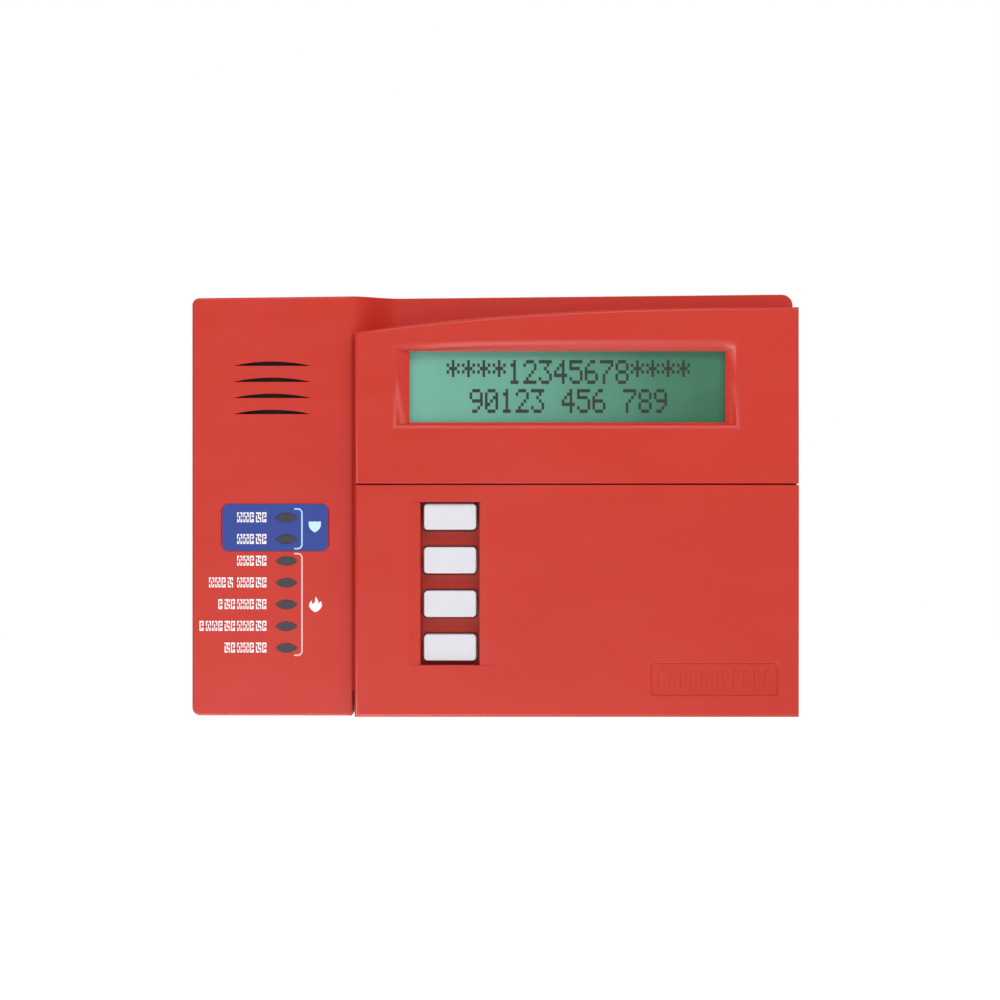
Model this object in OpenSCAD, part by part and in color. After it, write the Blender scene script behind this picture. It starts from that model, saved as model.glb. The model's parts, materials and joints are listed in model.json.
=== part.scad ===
// Remote keypad and annunciator of a fire alarm control panel, for wall mounting.
// Frame: the back face lies on y = 0 and the front looks along -Y, +X is to the right, +Z is up.
// The origin is the centre of the back face. All sizes are in millimetres.

/* [Case] */
// Width of the case
case_w = 188; // [180:1:240]
// Height of the case at its right-hand end
case_h = 131.8; // [128:0.1:170]
// Depth from the wall to the face of the raised block
case_d = 31; // [30:0.5:42]
// Wall thickness of the mouldings
wall = 2; // [1.6:0.1:2.2]
// Depth of the rear case, from the wall to the parting line
rear_d = 10; // [8:0.5:12]
// How much lower the top edge is at the left-hand end
top_slope = 2; // [0:0.1:4]

/* [Left panel] */
// Width of the left-hand panel
panel_w = 49.7; // [46:0.1:60]
// Step from the block's face back to the left panel's face
panel_step = 5; // [4:0.5:6]
// Width of the seam between the panel and the block
seam_w = 1.1; // [0.8:0.1:1.4]
// Depth of the seam below the panel's face
seam_t = 0.5; // [0.4:0.1:1.2]
// Height of the open notch at the seam's lower end
notch_h = 6.9; // [5:0.1:7.5]

/* [Raised block] */
// Height of the shoulder above the block's right-hand end
shoulder_h = 5.2; // [5:0.1:8]
// Fall of the block's top edge from right to left
block_fall = 7.7; // [5:0.1:9]
// Depth from the block's face back to the shoulder
shoulder_step = 15; // [12:0.5:16]
// Width of the blend from the left panel back to the shoulder
blend_w = 16; // [12:0.5:20]
// Thickness of the display fascia
fascia_t = 2.5; // [2:0.1:3]

/* [Display] */
// Width of the visible display window
window_w = 97.3; // [80:0.1:104]
// Height of the visible display window
window_h = 21.7; // [18:0.1:24]
// Shift of the window's centre from the block's centre
window_shift = -2.85; // [-6:0.05:2]
// Rise of the window's centre above the fascia's middle
window_rise = 2.7; // [0:0.1:4]
// Width of the bevel at the window's left side
bevel_l = 5; // [3:0.1:6]
// Width of the bevel at the window's right side
bevel_r = 4.2; // [3:0.1:6]
// Height of the bevel above the window at its right end
bevel_t = 2.6; // [2:0.1:4]
// Fall of the upper bevel's edge from right to left
bevel_fall = 1.2; // [0:0.1:1.5]
// Height of the bevel below the window
bevel_b = 1.6; // [1:0.1:3]
// Thickness of the clear display window
lens_t = 1.5; // [1:0.1:2]
// Thickness of the liquid crystal glass
glass_t = 2.8; // [2:0.1:3]

/* [Door] */
// Height of the door
door_h = 71.7; // [68:0.1:80]
// Thickness of the door's face
door_t = 2.2; // [1.8:0.1:2.4]
// Thickness of the door's flanges
flange_t = 1.8; // [1.4:0.1:2]
// Gap between the door and the fascia above it
door_gap = 0.35; // [0.3:0.05:0.6]
// Radius of the door's hinge pins
pin_r = 1; // [0.8:0.05:1.2]
// Radial running clearance of the hinge pins
pin_fit = 0.05; // [0.03:0.01:0.1]
// Width of the recessed plate on the door
plate_w = 39; // [30:0.5:46]
// Height of the recessed plate on the door
plate_h = 10.2; // [8:0.1:12]

/* [Keys] */
// Width of a function key
fkey_w = 16.2; // [12:0.1:19.5]
// Height of every key
key_h = 8.1; // [7:0.1:9.8]
// Width of a number key
nkey_w = 17; // [14:0.1:21]
// Distance between two rows of keys
key_pitch = 13.5; // [12.5:0.1:14]
// Distance between two columns of number keys
key_col_pitch = 24; // [22:0.1:26]
// Gap around a key in its hole
key_gap = 0.4; // [0.3:0.05:0.5]
// Corner radius of a key
key_r = 1.2; // [0.8:0.1:2]
// Travel of a key
key_travel = 1; // [0.6:0.1:1.2]

/* [Sounder and lights] */
// Number of sound slots
slot_count = 4; // [3:1:5]
// Length of a sound slot
slot_w = 24.4; // [20:0.1:30]
// Height of a sound slot at its middle
slot_t = 1.4; // [1:0.1:2]
// Distance between two sound slots
slot_pitch = 5; // [4:0.1:6]
// Radius of the sounder's housing
sounder_r = 13; // [11:0.1:14.5]
// Number of status lights
light_count = 7; // [5:1:7]
// Distance between two status lights
light_pitch = 6.75; // [6:0.05:7]
// Length of a status light's lens
light_w = 6.7; // [5:0.1:8]
// Height of a status light's lens
light_h = 2.75; // [2:0.05:3.5]
// Width of the status label
label_w = 32.8; // [28:0.1:38]
// Height of the status label
label_h = 14.6; // [13.5:0.1:16]

/* [Inside] */
// Thickness of the main board
board_t = 1.6; // [1:0.1:2]
// Radius of the board screws' threads
screw_r = 1.1; // [0.9:0.05:1.3]
// Radius of the tamper plunger
plunger_r = 1.2; // [1:0.05:1.4]
// Travel of the tamper plunger
plunger_travel = 2; // [1:0.1:2.2]
// Number of wiring terminals
terminal_count = 4; // [2:1:6]

/* [Fixing to the wall] */
// Distance between the wall screws, left to right
wall_screws_x = 150; // [130:1:170]
// Distance between the wall screws, bottom to top
wall_screws_z = 96; // [80:1:104]
// Radius of the wall screw holes
wall_screw_r = 2.25; // [2:0.05:2.6]
// Distance between the two wiring box screws
box_screws_z = 83.3; // [83:0.1:84]
// Radius of the wiring box screw holes
box_screw_r = 2.1; // [1.9:0.05:2.3]
// Width of the wiring entry
entry_w = 36; // [30:1:44]
// Height of the wiring entry
entry_h = 46; // [36:1:56]

/* [Hidden] */
$fn = 64;

red = "#c93a2d";
dark_red = "#b5302a";
black = "#26272a";
green = "#2f6b3c";
silver = "#c8ccd0";

// Clearances
free_gap = 0.3;   // between bodies that move
snug_gap = 0.15;  // between mouldings that fit together
cut = 1;          // how far a cutter passes a face
skin = 0.01;      // how far a tapered cutter passes a face

// Case: edges and planes
x0 = -case_w / 2;
x1 = case_w / 2;
z0 = -case_h / 2;
z1 = case_h / 2;
front_y = -case_d;
panel_y = front_y + panel_step;
shoulder_y = front_y + shoulder_step;
panel_x1 = x0 + panel_w;
block_x0 = panel_x1 + seam_w;
block_w = x1 - block_x0;
block_top = z1 - shoulder_h;
panel_cx = (x0 + panel_x1) / 2;
seam_z = z0 + door_h + door_gap;
corner_bl = 2.5;
corner_br = 0.8;
corner_tr = 3.5;
corner_tl = 2.2;
min_corner = 0.5;
blend_x0 = panel_x1 - seam_w;
blend_steps = 12;
arc_steps = 8;
top_steps = 20;
top_power = 2.5;
rib_t = 1.2;
tongue_h = 2.2;

// Door and hinge
door_back = front_y + door_t;
deck_gap = 3.3;
deck_y = door_back + deck_gap;
flange_y = deck_y - free_gap;
hinge_y = door_back + 2.4;
hinge_z = z0 + flange_t + 2.25;
ear_r = 2;
ear_w = 3;
ear_inset = 5.2;
ear_back = 0.5;
hinge_room = 6.2;
recess_y = hinge_y + hinge_room;
recess_z = hinge_z + 3.9;
recess_floor = recess_z + wall;
cut_inset = 20.3;
cut_margin = 1.05;
cut_x0 = block_x0 + cut_inset;
cut_x1 = cut_x0 + fkey_w + 2 * cut_margin;
cut_top = seam_z - 5.7;
cut_w = 1.3;
dish_w = 3.8;
dish_t = 0.4;
plate_inset_x = 6.6;
plate_inset_z = 6.5;
plate_r = 1.2;
plate_sink = 0.5;
plate_ribs = 11;
plate_rib_w = 1.2;
plate_rib_h = 5;
plate_rib_rise = 0.3;
card_t = 0.2;
card_margin = 5;

// Keys, keypad mat and board, from the front to the back
rows = 4;
key_flange = 1;
key_flange_t = 1;
dome_h = 1;
dome_inset_x = 2;
dome_inset_z = 1.5;
mat_t = 1;
deck_back = deck_y + wall;
flange_front = deck_back + free_gap;
flange_back = flange_front + key_flange_t;
dome_top = flange_back + key_travel + free_gap;
mat_front = dome_top + dome_h;
board_y = mat_front + mat_t;
board_back = board_y + board_t;
fkey_face = front_y + 1.2;
nkey_face = deck_y - 1.8;
fkey_x = (cut_x0 + cut_x1) / 2;
nkey_x = (cut_x1 + x1) / 2;
row_1 = cut_top - 0.45 - key_h / 2;
cut_bottom = row_1 - (rows - 1) * key_pitch - key_h / 2 - cut_w;
columns = [fkey_x, for (i = [-1:1]) nkey_x + i * key_col_pitch];
mat_margin = 3.2;
key_light_w = 2;
key_light_h = 1.2;
key_light_t = 0.8;

// Display
window_x = (block_x0 + x1) / 2 + window_shift;
window_z = (seam_z + block_top) / 2 + window_rise;
lens_y = front_y + fascia_t;
lens_lap = 2.4;
lens_back = lens_y + lens_t;
lcd_y = lens_back + free_gap;
lcd_w = window_w + 8.7;
lcd_h = window_h + 8.3;
bezel_t = 0.4;
bezel_lap_x = 3.5;
bezel_lap_z = 3.3;
glass_y = lcd_y + bezel_t;
glass_gap = 0.7;
glass_back = glass_y + glass_t;
strip_w = 1.6;
strip_inset = 0.9;

// Board outline and posts
board_x0 = x0 + 4.5;
board_x1 = x1 - 4.5;
board_z0 = recess_floor + 0.5;
board_z1 = window_z + lcd_h / 2 + 0.05;
post_r = 2.6;
screw_fit = 0.05;
screw_head_r = 2.1;
screw_head_t = 1.5;
screw_l = 4.2;
panel_back = panel_y + wall;
post_low = board_z0 + 4;
post_high = board_z1 - 5;
// Each post: its place, and the plane that it stands on
POSTS = [
  [x0 + 7.5, post_low, panel_back], [x0 + 7.5, post_high, panel_back],
  [block_x0 + 6.2, post_low, deck_back], [x1 - 7.5, post_low, deck_back],
  [block_x0 + 6.2, post_high - 1.2, lens_y], [x1 - 7.5, post_high, lens_y]
];

// Left panel: sounder, status lights and label
slot_top_z = z1 - 23.1;
sounder_z = slot_top_z - (slot_count - 1) * slot_pitch / 2 + slot_t / 2;
gasket_t = 1.2;
gasket_r = 12;
gasket_bore = 10.4;
sounder_y = panel_back + gasket_t;
sounder_wall = 1.6;
sounder_front = 0.8;
sound_hole_r = 3;
disc_t = 0.3;
disc_ledge = 1;
light_x = panel_cx + 4.45;
light_1 = z0 + 61.55;
lens_proud = 0.15;
lens_fit = 0.1;
guide_t = 0.8;
guide_y = panel_back + free_gap / 2;
guide_margin = 1.2;
shroud_y = guide_y + guide_t + free_gap;
shroud_wall = 1;
led_w = 3.2;
led_h = 1.6;
led_t = 1.2;
label_t = 0.25;
label_r = 2;
label_x = panel_cx + 0.95;
label_z = light_1 - light_pitch / 2 + 0.3;

// Behind the board
lead_t = 0.2;
lead_w = 0.45;
lead_out = 1.1;
processor_w = 14;
processor_t = 1.8;
processor_leads = 12;
processor_x = 30;
driver_w = 4;
driver_h = 10;
driver_leads = 8;
display_chip_w = 10;
can_r = 4;
can_l = 8;
can_rim = 1;
regulator_w = 9.6;
regulator_t = 4.5;
regulator_tab_t = 1.3;
regulator_tab_h = 6;
crystal_w = 11;
crystal_h = 4.6;
crystal_t = 3.5;
crystal_room = 0.55;
terminal_pitch = 5.08;
terminal_h = 11;
terminal_d = 10;
terminal_x = 45;
terminal_z = board_z0 + 12;
terminal_wall = 0.8;
crystal_z = terminal_z + (terminal_h + crystal_h) / 2 + crystal_room;
terminal_screw_r = 1.8;
terminal_head_t = 2.5;
terminal_shank = 2;
terminal_floor = 1;
screw_slot = 0.7;
clamp_t = 0.6;
clamp_hole_r = terminal_screw_r - clamp_t;
clamp_top = board_back + terminal_d / 2 + terminal_floor - snug_gap;
entry_r = 3;
boss_r = 5;
boss_h = 1.5;
tamper_x = x0 + 19;
tamper_z = z0 + 36;
tamper_w = 12.8;
tamper_h = 6.4;
tamper_skin = 1;
shoulder_r = 2.2;
shoulder_t = 1;
spring_r = 1.65;
spring_wire = 0.25;
spring_turns = 3;
spring_l = 2.3;
tamper_d = 2 * tamper_skin + spring_l + shoulder_t + plunger_travel + free_gap;
spring_facets = 20;
wire_facets = 6;
case_screw_x = panel_cx;
case_screw_y = -14;
case_screw_r = 1.5;
case_screw_l = 7;
case_head_r = 2.8;
case_head_t = 1.1;
case_boss_w = 8;
case_boss_h = 7;
rating_w = 46;
rating_h = 26;
rating_inset = 15;
hook_x = 46;
hook_w = 10;
hook_y = -rear_d - tongue_h + 0.2;
hook_t = 1.6;
hook_h = 0.75;

function arc(c, r, a0, a1) =
  [for (i = [0:arc_steps]) let (a = a0 + (a1 - a0) * i / arc_steps) c + r * [cos(a), sin(a)]];
function corner(r, inset) = max(r - inset, min_corner);
function case_top(x) = z1 - top_slope * (x1 - x) / case_w;
function block_top_at(x) = block_top - block_fall * pow((x1 - x) / block_w, top_power);
function row_z(i) = row_1 - i * key_pitch;
function light_z(i) = light_1 - i * light_pitch;

// A flat shape drawn in X and Z, made solid from y = a to y = b
module along_y(a, b) {
  translate([0, b, 0]) rotate([90, 0, 0]) linear_extrude(b - a) children();
}

// A box given by its lowest and highest corners
module box(low, high) {
  translate(low) cube(high - low);
}

// A rectangle with round corners, centred on the origin
module round_rect(w, h, r) {
  square([w - 2 * r, h], center = true);
  square([w, h - 2 * r], center = true);
  for (i = [-1, 1], j = [-1, 1]) translate([i * (w / 2 - r), j * (h / 2 - r)]) circle(r);
}

// A round rod along Y from y = a to y = b
module rod_y(x, z, r, a, b) {
  translate([x, b, z]) rotate([90, 0, 0]) cylinder(r = r, h = b - a);
}

// A leaf shape with two pointed ends
module leaf(w, h) {
  r = (w * w / 4 + h * h / 4) / h;
  intersection() {
    translate([0, r - h / 2]) circle(r, $fn = 96);
    translate([0, h / 2 - r]) circle(r, $fn = 96);
  }
}

// A flat-bottomed slot with an arched top and pointed ends
module arched_slot(w, h) {
  r = (w * w / 4 + h * h) / (2 * h);
  intersection() {
    translate([0, h - r]) circle(r, $fn = 180);
    translate([-w / 2, 0]) square([w, 2 * h]);
  }
}

// The outline of the whole case, seen from the front, drawn in by inset
module case_outline(inset) {
  bl = corner(corner_bl, inset);
  br = corner(corner_br, inset);
  tr = corner(corner_tr, inset);
  tl = corner(corner_tl, inset);
  notch_r = seam_w / 2 + inset;
  difference() {
    polygon(concat(
      arc([x0 + inset + bl, z0 + inset + bl], bl, 180, 270),
      arc([x1 - inset - br, z0 + inset + br], br, 270, 360),
      arc([x1 - inset - tr, z1 - inset - tr], tr, 0, 90),
      arc([x0 + inset + tl, z1 - top_slope - inset - tl], tl, 90, 180)
    ));
    translate([panel_x1 + seam_w / 2, z0]) {
      translate([-notch_r, -cut]) square([2 * notch_r, notch_h - seam_w / 2 + cut]);
      translate([0, notch_h - seam_w / 2]) circle(notch_r);
    }
  }
}

// The outline of the raised block from height low upwards
module block_outline(low, inset) {
  left = block_x0 + inset;
  right = x1 - inset;
  polygon(concat(
    [[left, low], [right, low]],
    [for (i = [0:top_steps]) let (x = right - (right - left) * i / top_steps)
      [x, block_top_at(x) - inset]]
  ));
}

// The case's front seen from above: the panel's face, the blend and the shoulder, moved back by inset
module front_profile(inset) {
  polygon(concat(
    [[x0 - cut, cut], [x0 - cut, panel_y + inset]],
    [for (i = [0:blend_steps]) let (t = i / blend_steps)
      [blend_x0 + blend_w * t,
       panel_y + inset + (shoulder_y - panel_y) * (1 - cos(180 * t)) / 2]],
    [[x1 + cut, shoulder_y + inset], [x1 + cut, cut]]
  ));
}

module hinge_ear(x) {
  translate([x + ear_w / 2, 0, 0]) rotate([0, -90, 0]) linear_extrude(ear_w) {
    translate([hinge_z, hinge_y]) circle(ear_r);
    translate([hinge_z, hinge_y - ear_r]) square([recess_z - hinge_z + wall, ear_r + ear_back]);
  }
}

module front_case_solid() {
  intersection() {
    translate([0, 0, z0 - cut]) linear_extrude(case_h + 2 * cut) front_profile(0);
    along_y(front_y, -rear_d) case_outline(0);
  }
  along_y(front_y, shoulder_y) block_outline(seam_z, 0);
  box([block_x0, deck_y, z0], [x1, shoulder_y, seam_z + wall]);
}

module front_case_cavity() {
  difference() {
    intersection() {
      translate([0, 0, z0 - cut]) linear_extrude(case_h + 2 * cut) front_profile(wall);
      along_y(front_y, cut - rear_d) case_outline(wall);
    }
    box([panel_x1 - wall, front_y, z0 - cut], [x1 + cut, recess_y + wall, recess_floor]);
  }
  along_y(lens_y, shoulder_y + wall + cut) block_outline(seam_z + wall, wall);
  box([block_x0 + wall, deck_back, recess_floor], [x1 - wall, shoulder_y + wall, seam_z + wall + cut]);
}

// The sloping sides of the display opening, whose upper edge follows the block's own curve
module window_cutter() {
  left = window_x - window_w / 2 - bevel_l;
  right = window_x + window_w / 2 + bevel_r;
  low = window_z - window_h / 2 - bevel_b;
  high = window_z + window_h / 2 + bevel_t;
  hull() {
    along_y(front_y - skin, front_y) polygon(concat(
      [[left, low], [right, low]],
      [for (i = [0:top_steps]) let (t = i / top_steps)
        [right - (right - left) * t, high - bevel_fall * pow(t, top_power)]]
    ));
    along_y(lens_y, lens_y + skin) translate([window_x, window_z])
      square([window_w, window_h], center = true);
  }
}

module key_holes() {
  for (c = [0:len(columns) - 1], i = [0:rows - 1])
    translate([columns[c], 0, row_z(i)]) along_y(deck_y - cut, deck_back + cut)
      round_rect((c == 0 ? fkey_w : nkey_w) + 2 * key_gap, key_h + 2 * key_gap, key_r + key_gap);
}

module light_holes(fit) {
  for (i = [0:light_count - 1]) translate([light_x, light_z(i)]) leaf(light_w + 2 * fit, light_h + 2 * fit);
}

module front_case() {
  color(red) difference() {
    union() {
      difference() {
        front_case_solid();
        front_case_cavity();
        box([panel_x1, front_y - cut, z0 - cut], [x1 + cut, recess_y, recess_z]);
        box([panel_x1, front_y - cut, recess_z - cut], [block_x0, panel_y + seam_t, block_top_at(block_x0)]);
      }
      for (p = POSTS) rod_y(p[0], p[1], post_r, p[2] - wall / 2, board_y);
      hinge_ear(block_x0 + ear_inset);
      hinge_ear(x1 - ear_inset);
    }
    window_cutter();
    key_holes();
    for (i = [0:slot_count - 1]) translate([panel_cx, 0, slot_top_z - i * slot_pitch])
      along_y(panel_y - cut, panel_back + cut) arched_slot(slot_w, slot_t);
    along_y(panel_y - cut, panel_back + cut) light_holes(lens_fit);
    translate([label_x, 0, label_z]) along_y(panel_y - cut, panel_y + label_t)
      round_rect(label_w + 2 * snug_gap, label_h + 2 * snug_gap, label_r + snug_gap);
    for (p = POSTS) rod_y(p[0], p[1], screw_r + screw_fit, board_y - screw_l - cut / 2, board_y + cut);
    translate([block_x0, hinge_y, hinge_z]) rotate([0, 90, 0]) cylinder(r = pin_r + pin_fit, h = block_w);
    translate([case_screw_x, case_screw_y, z0 - cut]) {
      cylinder(r = case_screw_r + 2 * lens_fit, h = wall + 2 * cut);
      cylinder(r = case_head_r + lens_fit, h = case_head_t + cut + lens_fit);
    }
    for (s = [-1, 1]) translate([s * hook_x, hook_y + hook_t / 2, case_top(s * hook_x) - wall])
      cube([hook_w + 4 * snug_gap, hook_t + 4 * snug_gap, 2 * (hook_h + snug_gap)], center = true);
  }
}

module rear_case() {
  color(dark_red) difference() {
    union() {
      difference() {
        along_y(-rear_d, 0) case_outline(0);
        along_y(-rear_d - cut, -wall) case_outline(wall);
      }
      along_y(-rear_d, -wall) difference() {
        case_outline(wall / 2);
        case_outline(wall + snug_gap + rib_t);
      }
      along_y(-rear_d - tongue_h, -rear_d) difference() {
        case_outline(wall + snug_gap);
        case_outline(wall + snug_gap + rib_t);
      }
      for (s = [-1, 1])
        translate([s * hook_x, hook_y + hook_t / 2, case_top(s * hook_x) - wall - rib_t / 2])
        cube([hook_w, hook_t, rib_t + 2 * (hook_h - rib_t / 2)], center = true);
      for (i = [-1, 1], j = [-1, 1])
        rod_y(i * wall_screws_x / 2, j * wall_screws_z / 2, boss_r, -wall - boss_h, -wall / 2);
      for (j = [-1, 1]) rod_y(0, j * box_screws_z / 2, boss_r, -wall - boss_h, -wall / 2);
      rod_y(tamper_x, tamper_z, boss_r, -wall - boss_h, -wall / 2);
      box([case_screw_x - case_boss_w / 2, case_screw_y - case_boss_w / 2 + 0.2, z0 + wall + snug_gap],
        [case_screw_x + case_boss_w / 2, -wall / 2, z0 + wall + snug_gap + case_boss_h]);
    }
    for (i = [-1, 1], j = [-1, 1])
      rod_y(i * wall_screws_x / 2, j * wall_screws_z / 2, wall_screw_r, -wall - boss_h - cut, cut);
    for (j = [-1, 1]) rod_y(0, j * box_screws_z / 2, box_screw_r, -wall - boss_h - cut, cut);
    rod_y(tamper_x, tamper_z, plunger_r + free_gap, -wall - boss_h - cut, cut);
    along_y(-wall - cut, cut) round_rect(entry_w, entry_h, entry_r);
    translate([case_screw_x, case_screw_y, z0])
      cylinder(r = case_screw_r + screw_fit, h = case_screw_l + cut);
    rating_place() along_y(-card_t, cut) round_rect(rating_w + 2 * snug_gap, rating_h + 2 * snug_gap, key_r);
  }
}

module door_outline(inset) {
  translate([block_x0 + inset, z0 + inset]) square([block_w - 2 * inset, door_h - 2 * inset]);
}

// A rib inside the door and the hinge pin on it: side is +1 when the pin points to the right
module door_hinge(x, side) {
  rib_x = x - side * (ear_w / 2 + free_gap);
  rib_low = min(rib_x, rib_x - side * wall);
  translate([rib_low + wall, 0, 0]) rotate([0, -90, 0]) linear_extrude(wall) {
    translate([hinge_z, hinge_y]) circle(ear_r);
    translate([hinge_z - ear_r, door_back - flange_t / 2])
      square([2 * ear_r, hinge_y - door_back + flange_t / 2]);
  }
  pin_l = ear_w + free_gap;
  translate([min(rib_x, rib_x + side * pin_l), hinge_y, hinge_z]) rotate([0, 90, 0])
    cylinder(r = pin_r, h = pin_l);
}

// One side of the shallow dish beside the key opening: it is deepest at x = edge
module dish(edge, side) {
  translate([0, 0, cut_bottom]) linear_extrude(cut_top - cut_bottom)
    polygon([[edge - side * cut, front_y - cut], [edge + side * dish_w, front_y - cut],
      [edge + side * dish_w, front_y], [edge, front_y + dish_t], [edge - side * cut, front_y + dish_t]]);
}

module door() {
  color(red) {
    difference() {
      union() {
        along_y(front_y, door_back) door_outline(0);
        along_y(door_back, flange_y) difference() {
          door_outline(0);
          door_outline(flange_t);
        }
      }
      translate([cut_x0, front_y - cut, cut_bottom])
        cube([cut_x1 - cut_x0, door_t + 2 * cut, cut_top - cut_bottom]);
      dish(cut_x0, -1);
      dish(cut_x1, 1);
      translate([x1 - plate_inset_x - plate_w / 2, 0, z0 + plate_inset_z + plate_h / 2]) difference() {
        along_y(front_y - cut, front_y + plate_sink) round_rect(plate_w, plate_h, plate_r);
        for (i = [0:plate_ribs - 1])
          translate([(i - (plate_ribs - 1) / 2) * plate_w / (plate_ribs + 1), 0, 0])
            along_y(front_y + plate_sink - plate_rib_rise, front_y + plate_sink + cut)
              square([plate_rib_w, plate_rib_h], center = true);
      }
    }
    door_hinge(block_x0 + ear_inset, -1);
    door_hinge(x1 - ear_inset, 1);
  }
}

module door_card() {
  color("ivory") box([cut_x1 + card_margin, door_back, cut_bottom],
    [x1 - flange_t - card_margin, door_back + card_t, cut_top]);
}

// A key cap: its stem fills the hole and a flange behind the deck keeps it in
module key_cap(x, z, w, face) {
  color("ghostwhite") translate([x, 0, z]) {
    along_y(face, flange_front) round_rect(w, key_h, key_r);
    along_y(flange_front, flange_back)
      round_rect(w + 2 * key_flange, key_h + 2 * key_flange, key_r + key_flange);
  }
}

module function_key(i) {
  key_cap(fkey_x, row_z(i), fkey_w, fkey_face);
}

module number_key(column, row) {
  key_cap(columns[column + 1], row_z(row), nkey_w, nkey_face);
}

module numbered_key(i) {
  number_key((i - 1) % 3, floor((i - 1) / 3));
}

module keypad_mat() {
  mat_x0 = columns[0] - fkey_w / 2 - mat_margin;
  mat_x1 = columns[3] + nkey_w / 2 + mat_margin;
  mat_z0 = row_z(rows - 1) - key_h / 2 - mat_margin;
  mat_z1 = row_z(0) + key_h / 2 + mat_margin;
  color("gainsboro") difference() {
    union() {
      box([mat_x0, mat_front, mat_z0], [mat_x1, board_y, mat_z1]);
      for (x = columns, i = [0:rows - 1])
        translate([x, 0, row_z(i)]) along_y(dome_top, mat_front + mat_t / 2)
          round_rect(fkey_w - 2 * dome_inset_x, key_h - 2 * dome_inset_z, key_r);
    }
    for (x = columns, i = [0:rows - 2])
      translate([x, 0, row_z(i) - key_pitch / 2]) along_y(mat_front - cut, board_y + cut)
        round_rect(key_light_w + 2 * key_r, key_light_h + 2 * key_r, key_r);
  }
}

module display_window() {
  color("lightcyan", 0.4) translate([window_x, 0, window_z]) along_y(lens_y, lens_back)
    round_rect(window_w + 2 * lens_lap, window_h + 2 * lens_lap, key_r);
}

module lcd_bezel() {
  color(silver) translate([window_x, 0, window_z]) {
    along_y(lcd_y, glass_y) difference() {
      square([lcd_w, lcd_h], center = true);
      square([lcd_w - 2 * bezel_lap_x, lcd_h - 2 * bezel_lap_z], center = true);
    }
    along_y(glass_y, board_y) difference() {
      square([lcd_w, lcd_h], center = true);
      square([lcd_w - 2 * bezel_t, lcd_h - 2 * bezel_t], center = true);
    }
  }
}

module lcd_glass() {
  color("darkseagreen") translate([window_x, 0, window_z]) along_y(glass_y, glass_back)
    square([lcd_w - 2 * (bezel_t + glass_gap), lcd_h - 2 * (bezel_t + snug_gap)], center = true);
}

module lcd_contact_strips() {
  edge = lcd_h / 2 - strip_inset - strip_w / 2;
  color("hotpink") for (s = [-1, 1]) translate([window_x, 0, window_z + s * edge])
    along_y(glass_back, board_y) square([window_w, strip_w], center = true);
}

module lcd_backlight() {
  color("white") translate([window_x, 0, window_z]) along_y(glass_back, board_y)
    square([lcd_w - 5, lcd_h - 2 * (strip_inset + strip_w + free_gap)], center = true);
}

module main_board() {
  color(green) difference() {
    along_y(board_y, board_back) translate([board_x0, board_z0])
      square([board_x1 - board_x0, board_z1 - board_z0]);
    for (p = POSTS) rod_y(p[0], p[1], screw_r + free_gap, board_y - cut, board_back + cut);
  }
}

module board_screws() {
  color(silver) for (p = POSTS) difference() {
    union() {
      rod_y(p[0], p[1], screw_r, board_y - screw_l, board_back);
      rod_y(p[0], p[1], screw_head_r, board_back, board_back + screw_head_t);
    }
    translate([p[0], board_back + screw_head_t, p[1]]) {
      cube([screw_head_r, screw_head_t, screw_r / 2], center = true);
      cube([screw_r / 2, screw_head_t, screw_head_r], center = true);
    }
  }
}

// A chip of n leads a side, on two or four sides, behind the board
module chip(x, z, w, h, t, n, four_sides) {
  pitch = (h - 2 * lead_w) / n;
  translate([x, board_back, z]) {
    color(black) translate([-w / 2, lead_t, -h / 2]) cube([w, t - lead_t, h]);
    color(silver) for (a = four_sides ? [0, 90, 180, 270] : [0, 180], i = [0:n - 1])
      rotate([0, a, 0]) translate([w / 2 - lead_w, 0, (i - (n - 1) / 2) * pitch - lead_w / 2]) {
        cube([lead_out + lead_w, lead_t, lead_w]);
        cube([2 * lead_w, t / 2, lead_w]);
      }
  }
}

module processor_chip() {
  chip(processor_x, row_z(1), processor_w, processor_w, processor_t, processor_leads, true);
}

module driver_chips() {
  for (z = [row_z(1), row_z(3)])
    chip(nkey_x + key_col_pitch, z, driver_w, driver_h, processor_t, driver_leads, false);
}

module display_chips() {
  w = display_chip_w;
  for (s = [-1, 1]) chip(window_x + s * window_w / 5, window_z, w, w, processor_t, driver_leads, true);
}

module capacitors() {
  for (i = [0:2]) {
    z = row_z(0) - i * (2 * can_r + 2 * key_r);
    color("midnightblue") difference() {
      rod_y(block_x0 + 3 * can_r, z, can_r, board_back, board_back + can_l);
      rod_y(block_x0 + 3 * can_r, z, can_r - can_rim, board_back + can_l - lead_t, board_back + can_l + cut);
    }
  }
}

module voltage_regulator() {
  translate([panel_x1 - 12, board_back, light_z(1)]) {
    color(black) translate([-regulator_w / 2, 0, -regulator_w / 2])
      cube([regulator_w, regulator_t, regulator_w]);
    color(silver) difference() {
      translate([-regulator_w / 2, 0, regulator_w / 2]) cube([regulator_w, regulator_tab_t, regulator_tab_h]);
      rod_y(0, (regulator_w + regulator_tab_h) / 2, terminal_screw_r, -cut, regulator_tab_t + cut);
    }
  }
}

module crystal() {
  color(silver) translate([processor_x, 0, crystal_z])
    along_y(board_back, board_back + crystal_t) round_rect(crystal_w, crystal_h, crystal_h / 2 - skin);
}

module key_lights() {
  color("lightyellow") for (x = columns, i = [0:rows - 2])
    translate([x, 0, row_z(i) - key_pitch / 2]) along_y(board_y - key_light_t, board_y)
      square([key_light_w, key_light_h], center = true);
}

module status_leds() {
  color("white") for (i = [0:light_count - 1])
    translate([light_x, 0, light_z(i)]) along_y(board_y - led_t, board_y)
      square([led_w, led_h], center = true);
}

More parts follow.
